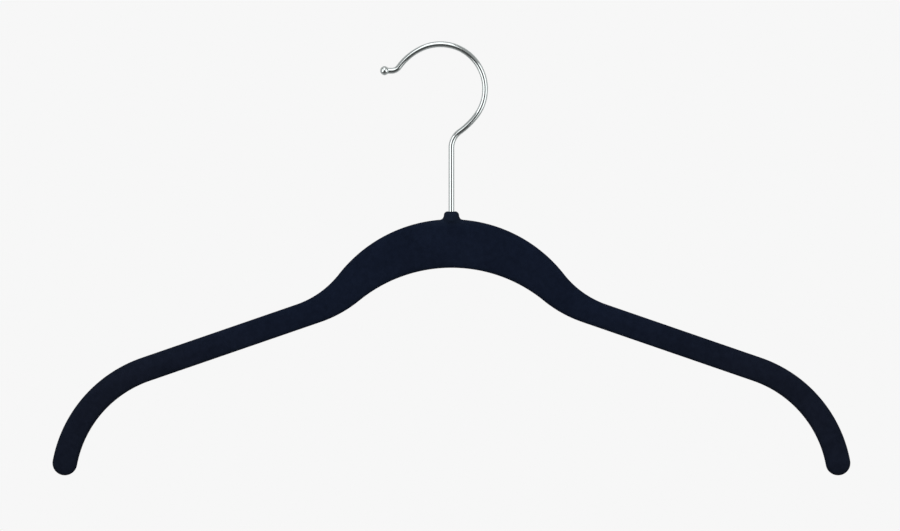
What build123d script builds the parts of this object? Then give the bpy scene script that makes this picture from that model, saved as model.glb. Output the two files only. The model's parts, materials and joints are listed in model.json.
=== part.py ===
from build123d import *
import os
from math import acos, cos, degrees, radians, sin

# A slim flocked shirt hanger: two welded plastic shells under a velvet coat, and a chrome hook that swivels.
# X runs along the hanger's width, Y from front to back and Z up, in millimetres.
# The origin is the inside top of the hook, the point that rests on a rail.

# Body outline, over the velvet
overall_width = 445.0
arm_width = 13.75
arm_slope = 19.0  # degrees below level
crown_drop = 96.0  # from the hook's seat down to the top of the crown
crown_depth = 27.1
crown_rise = 21.1  # how far the crown stands above the line of an arm's upper edge
crown_top_radius = 79.7
crown_bottom_radius = 81.3
shoulder_top_radius = 51.1
shoulder_bottom_radius = 69.7
bend_radius = 68.4  # of the arm's middle line, where it turns down
bend_turn = 60.5

# Body section
body_thickness = 6.0
velvet_thickness = 0.5  # pile and adhesive
edge_radius = 2.1  # over the velvet
shell_wall = 1.5
shell_rim = 1.4

# Boss around the hook, over the velvet
boss_height = 4.4  # above the crown
boss_top_radius = 4.0
boss_foot_radius = 4.2
boss_corner_radius = 1.4
boss_fade_depth = 3.0  # below the crown's top, where the boss has sunk into the faces
boss_fade_radius = 2.7
web_inset = 0.2  # how far the flat web under the boss stays inside it
web_radius = 2.6
mouth_radius = 2.1

# Hook
wire_diameter = 3.2
ball_diameter = 5.0
seat_radius = 24.9
seat_turn_to_back = 128.0
seat_turn_to_tip = 23.1
back_radius = 44.0
back_turn = 16.3
shank_bend_radius = 10.8
tip_curve_radius = 32.0
tip_curve_turn = 31.1
tip_bend_radius = 5.0
tip_bend_turn = 54.9
tip_straight = 3.9
wire_end_depth = 18.0  # below the crown's top
wire_end_chamfer = 0.4

# Swivel fit
bore_clearance = 0.05
groove_depth = 0.5
groove_height = 2.0
groove_above_end = 5.0
collar_end_gap = 0.1
wire_end_gap = 0.5

# Inside the shells
rib_thickness = 1.0
crown_rib_pitch = 13.0  # degrees
crown_ribs = 4
arm_rib_pitch = 18.0
arm_ribs = 6
bend_rib_pitch = 15.0  # degrees
bend_ribs = 4
housing_width = 8.0  # solid block around the wire
housing_floor = 3.0
post_radius = 2.0
pin_radius = 1.0
pin_length = 1.7
pin_clearance = 0.05
pin_end_gap = 0.2

# Worked out from the driving dimensions
wire_radius = wire_diameter / 2
half_thickness = body_thickness / 2
core_half_thickness = half_thickness - velvet_thickness
cavity_depth = core_half_thickness - shell_wall
crown_top = -crown_drop
crown_bottom = crown_top - crown_depth
boss_top = crown_top + boss_height
wire_end = crown_top - wire_end_depth
groove_bottom = wire_end + groove_above_end
groove_top = groove_bottom + groove_height
bore_radius = wire_radius + bore_clearance
collar_radius = bore_radius - groove_depth
tip_radius = arm_width / 2

# The arm's straight stretch, placed by its distance from the centres of the two crown arcs
slope = radians(arm_slope)
top_centre = crown_top - crown_top_radius
bottom_centre = crown_bottom - crown_bottom_radius
top_line = crown_top_radius - crown_rise
bottom_line = top_line - arm_width + (top_centre - bottom_centre) * cos(slope)
tip_angle = radians(arm_slope + bend_turn)
bend_x = overall_width / 2 - tip_radius - bend_radius * sin(tip_angle)
bend_z = top_centre + (top_line - bend_radius - tip_radius - bend_x * sin(slope)) / cos(slope)


# Hook centreline, traced both ways from the seat

with BuildLine(Plane.XZ) as shank_line:
    over = JernArc((0, wire_radius), (1, 0), seat_radius, -seat_turn_to_back)
    back = JernArc(over @ 1, over % 1, back_radius, -back_turn)
    turn = JernArc(back @ 1, back % 1, shank_bend_radius, seat_turn_to_back + back_turn - 90)
    swivel_x = (turn @ 1).X
    Line(turn @ 1, (swivel_x, wire_end))

with BuildLine(Plane.XZ) as tip_line:
    down = JernArc((0, wire_radius), (-1, 0), seat_radius, seat_turn_to_tip)
    curve = JernArc(down @ 1, down % 1, tip_curve_radius, tip_curve_turn)
    flick = JernArc(curve @ 1, curve % 1, tip_bend_radius, -tip_bend_turn)
    ball_centre = flick @ 1 + (flick % 1) * tip_straight
    Line(flick @ 1, ball_centre)

# The body is drawn from the front, about the hook's swivel axis
front_view = Plane(origin=(swivel_x, 0, 0), x_dir=(1, 0, 0), z_dir=(0, -1, 0))
swivel_axis = Axis((swivel_x, 0, 0), (0, 0, 1))


def half_edge(apex, crown_radius, shoulder_radius, line_distance, end_radius):
    """Draws the upper or lower edge of the right half, from the crown to the arm's tip, and returns its last arc."""
    shoulder_turn = degrees(acos((line_distance + shoulder_radius) / (crown_radius + shoulder_radius)))
    bend_start = (bend_x + end_radius * sin(slope), bend_z + end_radius * cos(slope))
    crown = JernArc((0, apex), (1, 0), crown_radius, -arm_slope - shoulder_turn)
    shoulder = JernArc(crown @ 1, crown % 1, shoulder_radius, shoulder_turn)
    Line(shoulder @ 1, bend_start)
    return JernArc(bend_start, shoulder % 1, end_radius, -bend_turn)


def outline(inset):
    """The whole body from the front, without the boss, moved in from the velvet's surface by inset."""
    with BuildSketch(front_view) as face:
        with BuildLine():
            outer = half_edge(
                crown_top - inset,
                crown_top_radius - inset,
                shoulder_top_radius + inset,
                top_line - inset,
                bend_radius + tip_radius - inset,
            )
            half_edge(
                crown_bottom + inset,
                crown_bottom_radius + inset,
                shoulder_bottom_radius - inset,
                bottom_line + inset,
                bend_radius - tip_radius + inset,
            )
            JernArc(outer @ 1, outer % 1, tip_radius - inset, -180)
            Line((0, crown_top - inset), (0, crown_bottom + inset))
        make_face()
        mirror(about=Plane.YZ)
    return face.sketch_local


def plate(inset):
    """The outline with the flat web that joins the boss to the crown."""
    foot = boss_foot_radius - web_inset - inset
    head = boss_top_radius - web_inset - inset
    web_foot = crown_top - boss_fade_depth
    web_head = boss_top - boss_corner_radius - inset
    with BuildSketch(front_view) as face:
        add(outline(inset))
        with BuildLine():
            Polyline((-foot, web_foot), (-head, web_head), (head, web_head), (foot, web_foot), close=True)
        make_face()
        fillet(face.vertices().group_by(Axis.Y)[-2], web_radius + inset)
    return face.sketch


def boss(inset):
    """The right half of the boss's upright section."""
    fade = crown_top - boss_fade_depth
    with BuildSketch(front_view) as face:
        with BuildLine():
            Polyline(
                (0, fade),
                (boss_fade_radius - inset, fade),
                (boss_foot_radius - inset, crown_top),
                (boss_top_radius - inset, boss_top - inset),
                (0, boss_top - inset),
                close=True,
            )
        make_face()
        fillet(face.vertices().group_by(Axis.Y)[-1].sort_by(Axis.X)[-1], boss_corner_radius - inset)
    return face.sketch


def add_form(inset):
    """Adds the body's whole form, moved in from the velvet's surface by inset, to the part being built."""
    extrude(plate(inset), amount=half_thickness - inset, both=True)
    flats = faces().filter_by(Axis.Y).group_by(Axis.Y)
    fillet(flats[0].edges() + flats[-1].edges(), edge_radius - inset)
    revolve(boss(inset), swivel_axis)


def around(x, z, radius, angle):
    """A place on an arc about x, z, angle degrees clockwise from its top, turned to lie along the arc."""
    return Location((x + radius * sin(radians(angle)), z + radius * cos(radians(angle))), -angle)


def on_crown(angle):
    """A place on the crown's middle line."""
    return around(0, (top_centre + bottom_centre) / 2, (crown_top_radius + crown_bottom_radius) / 2, angle)


def on_bend(turn):
    """A place on the end bend's middle line, turned past its start."""
    return around(bend_x, bend_z, bend_radius, arm_slope + turn)


def on_arm(distance):
    """A place on the straight arm's middle line, measured back from the end bend's start."""
    start = on_bend(0)
    return Location(start.position - Vector(cos(slope), -sin(slope)) * distance, -arm_slope)


def mirrored(places):
    """The given places and their mirror images across the swivel axis."""
    return places + [Location((-p.position.X, p.position.Y), -p.orientation.Z) for p in places]


rib_places = mirrored(
    [on_crown(n * crown_rib_pitch) for n in range(1, crown_ribs + 1)]
    + [on_arm(n * arm_rib_pitch) for n in range(arm_ribs)]
    + [on_bend(n * bend_rib_pitch) for n in range(1, bend_ribs + 1)]
)
post_places = mirrored(
    [on_crown(n * crown_rib_pitch) for n in (1.5, 3.5)]
    + [on_arm(n * arm_rib_pitch) for n in (0.5, 3.5)]
    + [on_bend(n * bend_rib_pitch) for n in (1.5, 3.5)]
)

# Everything inside the rim that isn't a rib, a post or the block around the wire
with BuildSketch(front_view) as cavity:
    add(outline(velvet_thickness + shell_rim))
    with Locations(rib_places):
        Rectangle(rib_thickness, 2 * crown_depth, mode=Mode.SUBTRACT)
    with Locations(post_places):
        Circle(post_radius, mode=Mode.SUBTRACT)
    with Locations((0, crown_top)):
        Rectangle(housing_width, 2 * (wire_end_depth + housing_floor), mode=Mode.SUBTRACT)

# Half the upright section of the hole for the wire, with the collar that fills the wire's groove
with BuildSketch(front_view) as channel:
    collar_bottom, collar_top = groove_bottom + collar_end_gap, groove_top - collar_end_gap
    with BuildLine():
        Polyline(
            (0, wire_end - wire_end_gap),
            (bore_radius, wire_end - wire_end_gap),
            (bore_radius, collar_bottom),
            (collar_radius, collar_bottom),
            (collar_radius, collar_top),
            (bore_radius, collar_top),
            (bore_radius, boss_top),
            (0, boss_top),
            close=True,
        )
    make_face()


# Core: the two shells' common form, solid

with BuildPart() as core:
    add_form(velvet_thickness)


def add_half(side):
    """Adds one hollowed half of the core to the part being built: side is 1 for the front, -1 for the rear."""
    add(core.part)
    split(bisect_by=front_view, keep=Keep.TOP if side > 0 else Keep.BOTTOM)
    extrude(cavity.sketch, amount=side * cavity_depth, mode=Mode.SUBTRACT)
    revolve(channel.sketch, swivel_axis, mode=Mode.SUBTRACT)


# Front shell, with the pins

with BuildPart() as front_shell:
    add_half(1)
    with BuildSketch(front_view):
        with Locations(post_places):
            Circle(pin_radius)
    extrude(amount=-pin_length)

front_shell.part.label = "front_shell"


# Rear shell, with the sockets

with BuildPart() as rear_shell:
    add_half(-1)
    with BuildSketch(front_view):
        with Locations(post_places):
            Circle(pin_radius + pin_clearance)
    extrude(amount=-pin_length - pin_end_gap, mode=Mode.SUBTRACT)

rear_shell.part.label = "rear_shell"


# Velvet coat: a thin skin over both shells, open only where the hook comes out

with BuildPart() as velvet_coat:
    add_form(0)
    add(core.part, mode=Mode.SUBTRACT)
    with Locations((swivel_x, 0, boss_top)):
        Cylinder(mouth_radius, 2 * velvet_thickness, mode=Mode.SUBTRACT)

velvet_coat.part.label = "velvet_coat"


# Hook: one wire with a ball formed at its tip and a groove turned near its other end

with BuildPart() as hook:
    for line in (shank_line, tip_line):
        with BuildSketch(Plane(origin=line.line @ 0, z_dir=line.line % 0)):
            Circle(wire_radius)
        sweep(path=line.line)
    with Locations(ball_centre):
        Sphere(ball_diameter / 2)
    chamfer(edges().sort_by(Axis.Z)[0], wire_end_chamfer)
    with BuildSketch(front_view):
        with Locations((wire_radius, (groove_bottom + groove_top) / 2)):
            Rectangle(2 * groove_depth, groove_height)
    revolve(axis=swivel_axis, mode=Mode.SUBTRACT)

hook.part.label = "hook"


os.makedirs("parts", exist_ok=True)
for piece in (front_shell, rear_shell, velvet_coat, hook):
    export_step(piece.part, f"parts/{piece.part.label}.step")
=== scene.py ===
import json
from math import acos, cos, pi, radians, sin, sqrt, tan

import bmesh
import bpy
import numpy as np
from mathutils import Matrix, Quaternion, Vector


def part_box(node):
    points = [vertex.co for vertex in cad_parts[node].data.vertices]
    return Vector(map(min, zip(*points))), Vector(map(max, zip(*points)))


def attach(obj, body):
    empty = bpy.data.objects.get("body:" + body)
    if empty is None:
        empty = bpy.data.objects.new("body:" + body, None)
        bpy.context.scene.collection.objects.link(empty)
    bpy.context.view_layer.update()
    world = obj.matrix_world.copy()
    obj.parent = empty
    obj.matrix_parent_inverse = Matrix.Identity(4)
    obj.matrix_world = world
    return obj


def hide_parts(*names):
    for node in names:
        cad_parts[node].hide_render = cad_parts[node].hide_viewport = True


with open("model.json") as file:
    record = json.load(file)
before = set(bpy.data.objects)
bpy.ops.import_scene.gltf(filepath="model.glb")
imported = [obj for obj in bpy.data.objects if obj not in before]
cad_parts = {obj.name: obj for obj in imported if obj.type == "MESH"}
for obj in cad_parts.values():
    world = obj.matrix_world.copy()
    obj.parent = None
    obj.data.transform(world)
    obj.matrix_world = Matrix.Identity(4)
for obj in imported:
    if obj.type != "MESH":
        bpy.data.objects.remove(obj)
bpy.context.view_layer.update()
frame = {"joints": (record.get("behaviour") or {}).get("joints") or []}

# Sizes are in metres. The frame gives the overall sizes; the rest repeats the hanger's own design.
MM = 0.001

coat_low, coat_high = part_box("velvet_coat")
swivel_x = frame["joints"][0]["pos_m"][0]
overall_width = coat_high.x - coat_low.x
boss_top = coat_high.z

# Body outline, over the velvet
arm_width = 13.75 * MM
arm_slope = radians(19.0)
crown_top = -96.0 * MM
crown_depth = 27.1 * MM
crown_rise = 21.1 * MM
crown_top_radius = 79.7 * MM
crown_bottom_radius = 81.3 * MM
shoulder_top_radius = 51.1 * MM
shoulder_bottom_radius = 69.7 * MM
bend_radius = 68.4 * MM
bend_turn = radians(60.5)

# Body section
half_thickness = 3.0 * MM
edge_radius = 2.1 * MM
face_crowning = 0.35 * MM  # how much thinner the body is at its edges
face_crowning_reach = 3.5 * MM
coat_thickness = 0.3 * MM
painted_edge_reach = 5.0 * MM  # how far in from an edge the painted light on upper edges and painted shade on lower edges reach

# Boss
boss_top_radius = 4.0 * MM
boss_taper = 0.12
boss_corner_radius = 1.8 * MM
boss_blend = 2.3 * MM
boss_saddle = 0.6 * MM  # how much lower the lip is in front and behind than at the sides
boss_depth = 5.3 * MM
mouth_radius = 1.8 * MM
mouth_depth = 1.6 * MM
mouth_blend = 0.35 * MM
mouth_wall_margin = 0.1 * MM  # the skin is opened at the mouth's floor, out to this far past its wall
mouth_floor_margin = 0.2 * MM  # and up to this far above the floor

# Hook
wire_radius = 1.6 * MM
ball_radius = 2.5 * MM
ball_fillet = 0.35 * MM
ball_start = 0.98  # of its radius from its middle, where the ball takes over from the wire
seat_radius = 24.9 * MM
seat_turn_to_back = radians(128.0)
seat_turn_to_tip = radians(23.1)
back_radius = 44.0 * MM
back_turn = radians(16.3)
shank_bend_radius = 10.8 * MM
tip_curve_radius = 32.0 * MM
tip_curve_turn = radians(31.1)
tip_bend_radius = 5.0 * MM
tip_bend_turn = radians(54.9)
tip_straight = 3.9 * MM
groove_depth = 0.5 * MM
groove_height = 2.0 * MM
groove_above_end = 5.0 * MM
wire_end_chamfer = 0.4 * MM

# Worked out from the dimensions above
tip_radius = arm_width / 2
outer_bend_radius = bend_radius + tip_radius
inner_bend_radius = bend_radius - tip_radius

# Mesh fineness
fine_pitch = 0.3 * MM  # around the boss
coarse_pitch = 0.85 * MM
depth_pitch = 0.6 * MM
fine_reach = 7 * MM  # either side of the swivel axis
fine_drop = 2 * MM  # below the crown's top
grid_margin = 2 * MM
grid_half_depth = 5.1 * MM
wire_pitch = 0.4 * MM
wire_segments = 48
shank_rings = 60
lead_rings = 8
ball_rings = 40
merge_distance = 0.001 * MM
slope_step = 0.02 * MM
edge_slope_step = 0.1 * MM


# ---------------------------------------------------------------- the velvet's surface

def smooth_minimum(a, b, blend):
    """The smaller of two distances, with the corner between them filled to a radius of about blend."""
    h = np.clip(0.5 + 0.5 * (b - a) / blend, 0, 1)
    return b + (a - b) * h - blend * h * (1 - h)


def corner_distance(across, out):
    """Signed distance from a square corner, negative inside, given the distance past each of its two sides."""
    return np.hypot(np.maximum(across, 0), np.maximum(out, 0)) + np.minimum(np.maximum(across, out), 0)


def outline_pieces():
    """The outline of the body's right half, about the swivel axis, as tangent arcs and lines.

    An arc is (centre, radius, side, first angle, turn), with angles clockwise from its top.
    Its side is 1 where the body bulges out and -1 where it curves in. A line is (start, end, outward direction).
    """
    top_centre = crown_top - crown_top_radius
    bottom_centre = crown_top - crown_depth - crown_bottom_radius
    top_line = crown_top_radius - crown_rise
    bottom_line = top_line - arm_width + (top_centre - bottom_centre) * cos(arm_slope)
    bend_x = overall_width / 2 - tip_radius - bend_radius * sin(arm_slope + bend_turn)
    reach = top_line - bend_radius - tip_radius - bend_x * sin(arm_slope)
    bend = np.array((bend_x, top_centre + reach / cos(arm_slope)))
    outward = np.array((sin(arm_slope), cos(arm_slope)))
    arcs, lines = [], []
    for centre_z, crown, shoulder, line, end, side in (
        (top_centre, crown_top_radius, shoulder_top_radius, top_line, outer_bend_radius, 1),
        (bottom_centre, crown_bottom_radius, shoulder_bottom_radius, bottom_line, inner_bend_radius, -1),
    ):
        shoulder_turn = acos((line + shoulder) / (crown + shoulder))
        crown_turn = arm_slope + shoulder_turn
        centre = np.array((0, centre_z))
        shoulder_centre = centre + (crown + shoulder) * np.array((sin(crown_turn), cos(crown_turn)))
        arcs.append((centre, crown, side, 0, crown_turn))
        arcs.append((shoulder_centre, shoulder, -side, pi + arm_slope, shoulder_turn))
        arcs.append((bend, end, side, arm_slope, bend_turn))
        lines.append((shoulder_centre - shoulder * outward, bend + end * outward, outward * side))
    tip = bend + bend_radius * np.array((sin(arm_slope + bend_turn), cos(arm_slope + bend_turn)))
    arcs.append((tip, tip_radius, 1, arm_slope + bend_turn, pi))
    return arcs, lines


ARCS, LINES = outline_pieces()


def outline_distance(x, z):
    """Signed distance to the body's outline seen from the front, negative inside."""
    x = np.abs(x)
    nearest = np.full(x.shape, 1.0)
    for centre, radius, side, first, turn in ARCS:
        dx, dz = x - centre[0], z - centre[1]
        away = (np.arctan2(dx, dz) - first) % (2 * pi)
        distance = side * (np.hypot(dx, dz) - radius)
        here = (away <= turn + 1e-6) | (away >= 2 * pi - 1e-6)
        nearest = np.where(here & (np.abs(distance) < np.abs(nearest)), distance, nearest)
    for start, end, outward in LINES:
        along = end - start
        part = ((x - start[0]) * along[0] + (z - start[1]) * along[1]) / (along @ along)
        distance = (x - start[0]) * outward[0] + (z - start[1]) * outward[1]
        here = (part >= -1e-6) & (part <= 1 + 1e-6)
        nearest = np.where(here & (np.abs(distance) < np.abs(nearest)), distance, nearest)
    return nearest


def velvet_distance(points):
    """Signed distance to the velvet's surface: the body with the boss blended in, less the boss's mouth.

    The points are given about the swivel axis.
    """
    x, y, z = points.T
    inward = outline_distance(x, z)
    thickness = half_thickness - face_crowning * np.exp(np.minimum(inward, 0) / face_crowning_reach)
    body = corner_distance(inward + edge_radius, np.abs(y) - thickness + edge_radius) - edge_radius
    radial = np.hypot(x, y)
    top = boss_top - boss_saddle * (y / boss_top_radius) ** 2
    side = radial - boss_top_radius - boss_taper * (top - z) + boss_corner_radius
    height = np.maximum(z - top, top - boss_depth - z) + boss_corner_radius
    boss = corner_distance(side, height) - boss_corner_radius
    whole = smooth_minimum(body, boss, boss_blend)
    mouth = np.maximum(radial - mouth_radius, top - mouth_depth - z)
    return -smooth_minimum(-whole, mouth, mouth_blend)


def spaced(low, high, pitch):
    """Evenly spaced values from low to high, about pitch apart."""
    return np.linspace(low, high, round((high - low) / pitch) + 1)


def grid_axes():
    """Grid planes across the width, depth and height of the body, closer together around the boss."""
    far = overall_width / 2 + grid_margin
    half = np.concatenate([spaced(0, fine_reach, fine_pitch)[:-1], spaced(fine_reach, far, coarse_pitch)])
    x = np.concatenate([-half[:0:-1], half])
    y = spaced(-grid_half_depth, grid_half_depth, depth_pitch)
    fine_from = crown_top - fine_drop
    below = spaced(coat_low.z - grid_margin, fine_from, coarse_pitch)
    z = np.concatenate([below[:-1], spaced(fine_from, boss_top + grid_margin, fine_pitch)])
    return x, y, z


def surface_net(distance, axes):
    """A closed quad mesh around the part of the grid where distance is negative.

    Each cell that is partly inside gets one vertex, and each grid edge that crosses the surface one quad.
    """
    grid = np.stack(np.meshgrid(*axes, indexing="ij"), -1)
    inside = distance(grid.reshape(-1, 3)).reshape(grid.shape[:3]) < 0
    wide, deep, tall = (n - 1 for n in inside.shape)
    corners = sum(
        inside[i : wide + i, j : deep + j, k : tall + k].astype(int)
        for i in (0, 1)
        for j in (0, 1)
        for k in (0, 1)
    )
    mixed = (corners > 0) & (corners < 8)
    number = np.full(mixed.shape, -1)
    number[mixed] = np.arange(mixed.sum())
    middles = np.meshgrid(*[(a[1:] + a[:-1]) / 2 for a in axes], indexing="ij")
    points = np.stack([m[mixed] for m in middles], -1)
    quads = []
    for axis in range(3):
        u, v = (axis + 1) % 3, (axis + 2) % 3
        low = np.moveaxis(inside, (axis, u, v), (0, 1, 2))
        cells = np.moveaxis(number, (axis, u, v), (0, 1, 2))
        start, end = low[:-1, 1:-1, 1:-1], low[1:, 1:-1, 1:-1]
        for crossed, order in ((start & ~end, (0, 1, 2, 3)), (~start & end, (3, 2, 1, 0))):
            i, j, k = np.nonzero(crossed)
            around = (cells[i, j, k], cells[i, j + 1, k], cells[i, j + 1, k + 1], cells[i, j, k + 1])
            quads.append(np.stack([around[n] for n in order], -1))
    return points, np.concatenate(quads)


def gradient(distance, points, step=slope_step):
    """The distance's slope along X, Y and Z at each point."""
    return np.stack(
        [(distance(points + step * e) - distance(points - step * e)) / (2 * step) for e in np.eye(3)], -1
    )


def settle(points, quads, distance, rounds=4):
    """Evens the mesh out over the surface, and ends with every vertex on it."""
    pairs = np.concatenate([quads[:, [a, (a + 1) % 4]] for a in range(4)])
    count = np.bincount(pairs.ravel(), minlength=len(points))
    for n in range(rounds + 1):
        for _ in range(3):
            slope = gradient(distance, points)
            steepness = np.maximum((slope**2).sum(1), 0.2)
            points = points - slope * (distance(points) / steepness)[:, None]
        if n < rounds:
            total = np.zeros_like(points)
            np.add.at(total, pairs[:, 0], points[pairs[:, 1]])
            np.add.at(total, pairs[:, 1], points[pairs[:, 0]])
            points = points + 0.5 * (total / count[:, None] - points)
    return points


def mesh_object(name, points, faces):
    """A smooth-shaded mesh in the scene, from arrays of points and faces."""
    mesh = bpy.data.meshes.new(name)
    mesh.from_pydata(points.tolist(), [], faces.tolist())
    mesh.shade_smooth()
    made = bpy.data.objects.new(name, mesh)
    bpy.context.scene.collection.objects.link(made)
    return made


def make_velvet():
    """The velvet coat: one skin over the whole body, open only inside the boss's mouth."""
    points, quads = surface_net(velvet_distance, grid_axes())
    points = settle(points, quads, velvet_distance)
    below_lip = boss_top - points[:, 2]
    down_the_mouth = np.hypot(points[:, 0], points[:, 1]) < mouth_radius + mouth_wall_margin
    down_the_mouth &= (below_lip > mouth_depth - mouth_floor_margin) & (below_lip < 2 * mouth_depth)
    quads = quads[~down_the_mouth[quads].all(1)]
    used = np.unique(quads)
    number = np.full(len(points), -1)
    number[used] = np.arange(len(used))
    points = points[used]
    velvet = mesh_object("velvet", points + (swivel_x, 0, 0), number[quads])
    # Painted light and shade: a value per point, above 0 near edges that face up and below 0 near edges that
    # face down. The velvet's colour uses it to lighten the upper edges and darken the lower ones.
    x, _, z = points.T
    rise = (outline_distance(x, z + edge_slope_step) - outline_distance(x, z - edge_slope_step)) / (2 * edge_slope_step)
    painted_edge_light_shade = rise * np.exp(np.minimum(outline_distance(x, z), 0) / painted_edge_reach)
    velvet.data.attributes.new("painted_edge_light_shade", "FLOAT", "POINT").data.foreach_set("value", painted_edge_light_shade)
    skin = velvet.modifiers.new("thickness", "SOLIDIFY")
    skin.thickness = coat_thickness
    skin.offset = -1
    return velvet


# ---------------------------------------------------------------- the hook

# Positions and headings in the plane X, Z are complex numbers: x + z * 1j.


def follow(position, heading, stretches, pitch=wire_pitch):
    """Stations, each a position and heading, along a wire bent in one plane.

    A stretch is an arc, given as (radius, turn), and its turn is positive to the left.
    """
    stations = [(position, heading)]
    for radius, turn in stretches:
        position, heading = stations[-1]
        centre = position + 1j * heading * radius * np.sign(turn)
        steps = max(4, round(radius * abs(turn) / pitch))
        for angle in np.linspace(0, turn, steps + 1)[1:]:
            swing = np.exp(1j * angle)
            stations.append((centre + (position - centre) * swing, heading * swing))
    return stations


def make_hook():
    """The bent wire from its lower end, with its groove, up over the seat and out to the ball."""
    seat = 1j * wire_radius
    end_turn = pi / 2 - seat_turn_to_back - back_turn
    to_shank = [(seat_radius, -seat_turn_to_back), (back_radius, -back_turn), (shank_bend_radius, -end_turn)]
    down = follow(seat, 1, to_shank)
    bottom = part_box("hook")[0].z
    groove = bottom + groove_above_end
    groove_top = groove + groove_height
    shank_x, shank_top = down[-1][0].real, down[-1][0].imag
    rings = [
        (shank_x + 1j * z, 1j, wire_radius - cut)
        for z, cut in (
            (bottom, wire_radius),
            (bottom, wire_end_chamfer),
            (bottom + wire_end_chamfer, 0),
            (groove, 0),
            (groove, groove_depth),
            (groove_top, groove_depth),
            (groove_top, 0),
        )
    ]
    heights = np.linspace(groove_top, shank_top, shank_rings)[1:-1]
    rings += [(shank_x + 1j * z, 1j, wire_radius) for z in heights]
    rings += [(p, -h, wire_radius) for p, h in down[::-1]]
    to_ball = [
        (seat_radius, seat_turn_to_tip),
        (tip_curve_radius, tip_curve_turn),
        (tip_bend_radius, -tip_bend_turn),
    ]
    out = follow(seat, -1, to_ball)
    rings += [(p, h, wire_radius) for p, h in out[1:]]
    flick, heading = out[-1]
    ball = flick + heading * tip_straight
    lead = np.linspace(-tip_straight, -ball_start * ball_radius, lead_rings)[1:-1]
    around = -ball_radius * np.cos(np.linspace(acos(ball_start), pi, ball_rings))
    for s in np.concatenate([lead, around]):
        radius = sqrt(max(ball_radius**2 - s**2, 0))
        if s < 0:
            radius = -smooth_minimum(-radius, -wire_radius, ball_fillet)
        rings.append((ball + heading * s, heading, radius))
    return tube("hook_wire", rings)


def tube(name, rings, segments=wire_segments):
    """A closed tube through rings of (position, heading, radius), the first and last of radius 0."""
    points, quads = [], []
    for position, heading, radius in rings:
        side = 1j * heading
        for angle in np.linspace(0, 2 * pi, segments, endpoint=False):
            spot = position + side * radius * cos(angle)
            points.append((spot.real, radius * sin(angle), spot.imag))
    for ring in range(len(rings) - 1):
        for n in range(segments):
            a, b = ring * segments + n, ring * segments + (n + 1) % segments
            quads.append((a, b, b + segments, a + segments))
    made = mesh_object(name, np.array(points), np.array(quads))
    form = bmesh.new()
    form.from_mesh(made.data)
    bmesh.ops.remove_doubles(form, verts=form.verts, dist=merge_distance)
    bmesh.ops.recalc_face_normals(form, faces=form.faces)
    form.to_mesh(made.data)
    form.free()
    made.data.shade_smooth()
    return made


# ---------------------------------------------------------------- materials

VELVET_MIDDLE = (0.0079, 0.0119, 0.0257)
VELVET_ENDS = (0.0091, 0.0119, 0.0223)
# Painted light: the boss is coloured lighter and greener than the rest of the velvet.
VELVET_BOSS_PAINTED_LIGHT = (0.0112, 0.0161, 0.0297)
# Painted shade for edges that face down, and painted light for edges that face up.
UNDERSIDE_PAINTED_SHADE = (0.94, 0.92, 0.88)
TOP_EDGE_PAINTED_LIGHT = (1.08, 1.11, 1.11)
LINT = (0.05, 0.05, 0.055)
LINT_CELL = 9 * MM
LINT_SIZE = 0.035  # a speck's radius, as a share of a cell
LINT_FREE = 0.93  # share of cells with no lint
NOISE_RANGE = (0.3, 0.7)  # what most of the noise falls between


class Nodes:
    """Adds nodes to a material or world. An input given as a socket is linked, and any other value is set."""

    def __init__(self, owner):
        owner.use_nodes = True
        self.tree = owner.node_tree
        self.tree.nodes.clear()

    def add(self, kind, inputs=None, **settings):
        """A new node, its inputs by name or number and its settings by name."""
        node = self.tree.nodes.new("ShaderNode" + kind)
        for name, value in settings.items():
            setattr(node, name, value)
        for name, value in (inputs or {}).items():
            if isinstance(value, bpy.types.NodeSocket):
                self.tree.links.new(value, node.inputs[name])
            else:
                node.inputs[name].default_value = value
        return node

    def math(self, operation, a, b=0.0, c=0.0):
        """The result of a Math node."""
        return self.add("Math", {0: a, 1: b, 2: c}, operation=operation).outputs[0]

    def spread(self, value, low, high, to_low, to_high, smooth=False):
        """The value carried from low..high to to_low..to_high, held at the ends."""
        kind = "SMOOTHSTEP" if smooth else "LINEAR"
        ends = {"Value": value, "From Min": low, "From Max": high, "To Min": to_low, "To Max": to_high}
        return self.add("MapRange", ends, interpolation_type=kind).outputs[0]

    def band(self, value, rise, top, edge, foot):
        """1 between top and edge, smoothly falling to 0 at rise and foot."""
        return self.math(
            "MULTIPLY", self.spread(value, rise, top, 0, 1, True), self.spread(value, edge, foot, 1, 0, True)
        )

    def noise(self, vector, size, detail=2.0, roughness=0.5, offset=0.0):
        """Noise between about 0.25 and 0.75 with blotches about size metres across."""
        moved = self.add("VectorMath", {0: vector, 1: (offset,) * 3}, operation="ADD").outputs[0]
        inputs = {"Vector": moved, "Scale": 1 / size, "Detail": detail, "Roughness": roughness}
        return self.add("TexNoise", inputs).outputs[0]

    def tint(self, factor, low, high):
        """The colour between low and high at factor."""
        node = self.add("Mix", data_type="RGBA")
        for socket, value in ((0, factor), (6, low), (7, high)):
            if isinstance(value, bpy.types.NodeSocket):
                self.tree.links.new(value, node.inputs[socket])
            else:
                node.inputs[socket].default_value = (*value, 1) if isinstance(value, tuple) else value
        return node.outputs[2]

    def scale(self, colour, factor):
        """The colour times a factor."""
        return self.add("VectorMath", {0: colour, "Scale": factor}, operation="SCALE").outputs[0]

    def finish(self, shader, kind="Material"):
        """Puts the shader on the surface."""
        output = self.add("Output" + kind)
        self.tree.links.new(shader.outputs[0], output.inputs["Surface"])


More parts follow.
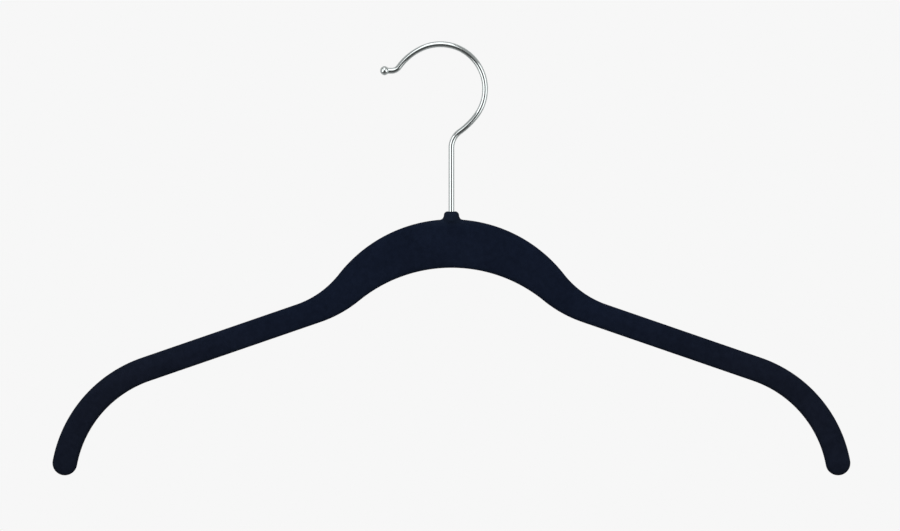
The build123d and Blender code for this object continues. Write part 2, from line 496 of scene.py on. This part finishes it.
def velvet_material():
    """Short dark navy flock: clouds where the nap leans, mottling, fine grain and a few specks of lint, with
    painted light along its upper edges and over the boss, and painted shade along its lower edges.
    """
    made = bpy.data.materials.new("navy_velvet")
    n = Nodes(made)
    place = n.add("TexCoord").outputs["Object"]
    across = n.add("SeparateXYZ", {0: place})
    clouds = n.noise(place, 25 * MM, 2.0, 0.5)
    mottling = n.noise(place, 3 * MM, 3.0, 0.6, 0.4)
    grain = n.noise(place, 0.35 * MM, 2.0, 0.7, 0.9)
    shade = n.spread(clouds, *NOISE_RANGE, 0.90, 1.10)
    shade = n.math("MULTIPLY", shade, n.spread(mottling, *NOISE_RANGE, 0.87, 1.13))
    shade = n.math("MULTIPLY", shade, n.spread(grain, *NOISE_RANGE, 0.76, 1.24))
    from_middle = n.math("ABSOLUTE", n.math("SUBTRACT", across.outputs["X"], swivel_x))
    colour = n.tint(n.spread(from_middle, 60 * MM, 200 * MM, 0, 1, True), VELVET_MIDDLE, VELVET_ENDS)
    # Painted light: the boss and the top of the crown are coloured lighter, as where the rounder boss catches
    # more light.
    over_crown = n.math("SUBTRACT", across.outputs["Z"], crown_top)
    colour = n.tint(n.spread(over_crown, -5 * MM, 1 * MM, 0, 1, True), colour, VELVET_BOSS_PAINTED_LIGHT)
    # Painted light and shade: upper edges lighter and bluer, lower edges darker and browner.
    painted_edge_light_shade = n.add("Attribute", attribute_name="painted_edge_light_shade").outputs["Fac"]
    painted_edge_tint = n.tint(n.spread(painted_edge_light_shade, -0.9, 0.9, 0, 1), UNDERSIDE_PAINTED_SHADE, TOP_EDGE_PAINTED_LIGHT)
    colour = n.add("VectorMath", {0: colour, 1: painted_edge_tint}, operation="MULTIPLY").outputs[0]
    seam = n.spread(n.math("ABSOLUTE", across.outputs["Y"]), 0.05 * MM, 0.3 * MM, 1, 0, True)
    shade = n.math("MULTIPLY", shade, n.spread(seam, 0, 1, 1, 0.85))
    colour = n.scale(colour, shade)
    cells = n.add("TexVoronoi", {"Vector": place, "Scale": 1 / LINT_CELL, "Randomness": 1.0}, feature="F1")
    kept = n.math("GREATER_THAN", n.add("SeparateColor", {0: cells.outputs["Color"]}).outputs[0], LINT_FREE)
    speck = n.math("LESS_THAN", cells.outputs["Distance"], LINT_SIZE)
    colour = n.tint(n.math("MULTIPLY", speck, kept), colour, LINT)
    relief = n.math("MULTIPLY_ADD", grain, 0.07 * MM, n.math("MULTIPLY", mottling, 0.08 * MM))
    relief = n.math("MULTIPLY_ADD", seam, -0.05 * MM, relief)
    bump = n.add("Bump", {"Strength": 0.6, "Distance": 1.0, "Height": relief})
    shader = n.add("BsdfPrincipled", {"Base Color": colour, "Normal": bump.outputs[0]})
    shader.inputs["Roughness"].default_value = 1.0
    shader.inputs["Specular IOR Level"].default_value = 0.0
    shader.inputs["Sheen Weight"].default_value = 0.03
    shader.inputs["Sheen Roughness"].default_value = 0.4
    shader.inputs["Sheen Tint"].default_value = (0.95, 0.97, 0.9, 1.0)
    n.finish(shader)
    return made


def chrome_material():
    """Bright plating, very slightly uneven, with the faint haze of handling."""
    made = bpy.data.materials.new("bright_chrome")
    n = Nodes(made)
    place = n.add("TexCoord").outputs["Object"]
    haze = n.noise(place, 6 * MM, 3.0, 0.6)
    rub = n.noise(place, 0.8 * MM, 2.0, 0.6, 0.3)
    colour = n.tint(haze, (0.82, 0.88, 0.875), (0.865, 0.92, 0.915))
    roughness = n.math("MULTIPLY_ADD", rub, 0.03, n.spread(haze, *NOISE_RANGE, 0.06, 0.09))
    relief = n.math("MULTIPLY", n.noise(place, 2.5 * MM, 1.0, 0.5, 0.7), 0.008 * MM)
    bump = n.add("Bump", {"Strength": 0.5, "Distance": 1.0, "Height": relief})
    surface = {"Base Color": colour, "Roughness": roughness, "Normal": bump.outputs[0], "Metallic": 1.0}
    n.finish(n.add("BsdfPrincipled", surface))
    return made


def moulding_material():
    """Black moulded plastic with a fine spark-eroded texture. It shows only at the floor of the mouth."""
    made = bpy.data.materials.new("moulded_black")
    n = Nodes(made)
    place = n.add("TexCoord").outputs["Object"]
    texture = n.noise(place, 0.25 * MM, 3.0, 0.6)
    flow = n.noise(place, 18 * MM, 2.0, 0.5, 0.5)
    colour = n.tint(flow, (0.010, 0.011, 0.014), (0.016, 0.017, 0.020))
    roughness = n.spread(texture, *NOISE_RANGE, 0.38, 0.55)
    relief = n.math("MULTIPLY", texture, 0.02 * MM)
    bump = n.add("Bump", {"Strength": 0.5, "Distance": 1.0, "Height": relief})
    surface = {"Base Color": colour, "Roughness": roughness, "Normal": bump.outputs[0]}
    n.finish(n.add("BsdfPrincipled", surface))
    return made


def floor_material():
    """A pale matt floor, barely mottled."""
    made = bpy.data.materials.new("pale_floor")
    n = Nodes(made)
    mottling = n.noise(n.add("TexCoord").outputs["Object"], 0.4, 2.0, 0.5)
    colour = n.tint(mottling, (0.80, 0.80, 0.80), (0.82, 0.82, 0.82))
    shader = n.add("BsdfPrincipled", {"Base Color": colour, "Roughness": 0.9})
    shader.inputs["Emission Color"].default_value = (1.0, 1.0, 1.0, 1.0)
    shader.inputs["Emission Strength"].default_value = 0.45
    n.finish(shader)
    return made


velvet = make_velvet()
hook = make_hook()
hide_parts("velvet_coat")
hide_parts("hook")
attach(velvet, "body")
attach(hook, "hook")
velvet.data.materials.append(velvet_material())
hook.data.materials.append(chrome_material())
moulding = moulding_material()
for name in ("front_shell", "rear_shell"):
    for slot in bpy.data.objects[name].material_slots:
        slot.material = moulding


# ---------------------------------------------------------------- studio

background = 0.930  # what the camera sees
fill = 0.32  # what lights the matt surfaces from all round
aim = Vector((swivel_x, 0, -120 * MM))
floor_reach = 6.0
floor_level = -950 * MM

# Upright panels behind the object, seen only in the chrome. The first four numbers are degrees to the side of
# straight behind, where a panel begins, is full, starts to fade and ends. The last says how much brighter it is
# than the wall, and it is darker where that is negative.
BACK_PANELS = (
    (48, 54, 64, 70, 0.7),
    (28, 34, 46, 52, -0.75),
    (10, 16, 24, 30, 0.7),
)
STRAIGHT_BEHIND = -0.75  # the same, for the panel straight behind


def studio_world():
    """A plain pale room. The camera sees it evenly bright, and matt surfaces get an even fill from it.

    Only mirrored rays see its walls: dark in front of the object, paler behind it, and fixed in place.
    """
    world = bpy.data.worlds.new("studio")
    bpy.context.scene.world = world
    n = Nodes(world)
    towards = n.add("SeparateXYZ", {0: n.add("TexCoord").outputs["Generated"]})
    turned = n.math("ARCCOSINE", n.math("MULTIPLY", towards.outputs["Y"], -1.0))
    angle = n.math("MULTIPLY", turned, 180 / pi)
    height = n.math("DIVIDE", towards.outputs["Z"], n.math("MAXIMUM", n.math("SINE", turned), 0.05))
    low = n.math("ADD", n.spread(angle, 45, 110, 0.068, 0.36, True), n.spread(angle, 110, 150, 0, 0.14, True))
    high = n.math("ADD", n.spread(angle, 9, 29, 0.10, 0.31, True), n.spread(angle, 80, 120, 0, 0.18, True))
    walls = n.add("Mix", {0: n.spread(height, -0.35, 0.35, 0, 1, True), 2: low, 3: high}).outputs[0]
    beside = n.math("ABSOLUTE", towards.outputs["X"])
    behind = n.math("MULTIPLY", n.math("ARCTAN2", beside, towards.outputs["Y"]), 180 / pi)
    panels = 0.0
    for rise, top, edge, foot, brighter in BACK_PANELS:
        panels = n.math("MULTIPLY_ADD", n.band(behind, rise, top, edge, foot), brighter, panels)
    panels = n.math("MULTIPLY_ADD", n.spread(behind, 6, 14, 1, 0, True), STRAIGHT_BEHIND, panels)
    level_with = n.spread(n.math("ABSOLUTE", towards.outputs["Z"]), 0.45, 0.8, 1, 0, True)
    walls = n.math("MULTIPLY", walls, n.math("MULTIPLY_ADD", panels, level_with, 1.0))
    rays = n.add("LightPath")
    level = n.add("Mix", {0: rays.outputs["Is Glossy Ray"], 2: fill, 3: walls}).outputs[0]
    level = n.add("Mix", {0: rays.outputs["Is Camera Ray"], 2: level, 3: background}).outputs[0]
    n.finish(n.add("Background", {"Color": level, "Strength": 1.0}), "World")


def softbox(name, azimuth, elevation, wide, tall, tilt, radiance, distance=1.6):
    """A rectangular light facing the object, hidden from the camera.

    Its place, width, height and tilt are in degrees as seen from the object, and azimuth 0 is towards -Y.
    """
    around, up = radians(azimuth), radians(elevation)
    light = bpy.data.lights.new(name, "AREA")
    light.shape = "RECTANGLE"
    light.size = 2 * distance * tan(radians(wide) / 2)
    light.size_y = 2 * distance * tan(radians(tall) / 2)
    light.energy = radiance * pi * light.size * light.size_y
    lamp = bpy.data.objects.new(name, light)
    away = Vector((sin(around) * cos(up), -cos(around) * cos(up), sin(up)))
    lamp.location = aim + distance * away
    lamp.rotation_euler = (away.to_track_quat("Z", "Y") @ Quaternion((0, 0, 1), radians(tilt))).to_euler()
    lamp.visible_camera = False
    bpy.context.scene.collection.objects.link(lamp)
    return lamp


def make_floor():
    """A plain floor well below the object, which neither the chrome nor the light bouncing around sees."""
    corners = [(x * floor_reach, y * floor_reach, floor_level) for x, y in ((-1, -1), (1, -1), (1, 1), (-1, 1))]
    floor = mesh_object("floor", np.array(corners), np.array([(0, 1, 2, 3)]))
    floor.data.materials.append(floor_material())
    floor.visible_glossy = False
    floor.visible_diffuse = False


studio_world()
softbox("top_softbox", -8, 48, 34, 62, 0, 1.15)
softbox("left_softbox", -49, 1, 40, 56, -20, 1.35)
softbox("right_softbox", 49, 1, 40, 56, 20, 1.25)
softbox("back_softbox", 180, 42, 76, 60, 0, 1.10).visible_glossy = False
make_floor()

frame_width = 502.0 * MM  # at the object
camera_distance = 2.5
camera_shift = -0.8 * MM
camera_height = -121.8 * MM
lens = bpy.data.cameras.new("camera")
lens.sensor_width = 36.0
lens.lens = lens.sensor_width * camera_distance / frame_width
camera = bpy.data.objects.new("camera", lens)
camera.location = (swivel_x + camera_shift, -camera_distance, camera_height)
camera.rotation_euler = (pi / 2, 0, 0)
bpy.context.scene.collection.objects.link(camera)
bpy.context.scene.camera = camera
bpy.context.scene.view_settings.view_transform = "Standard"
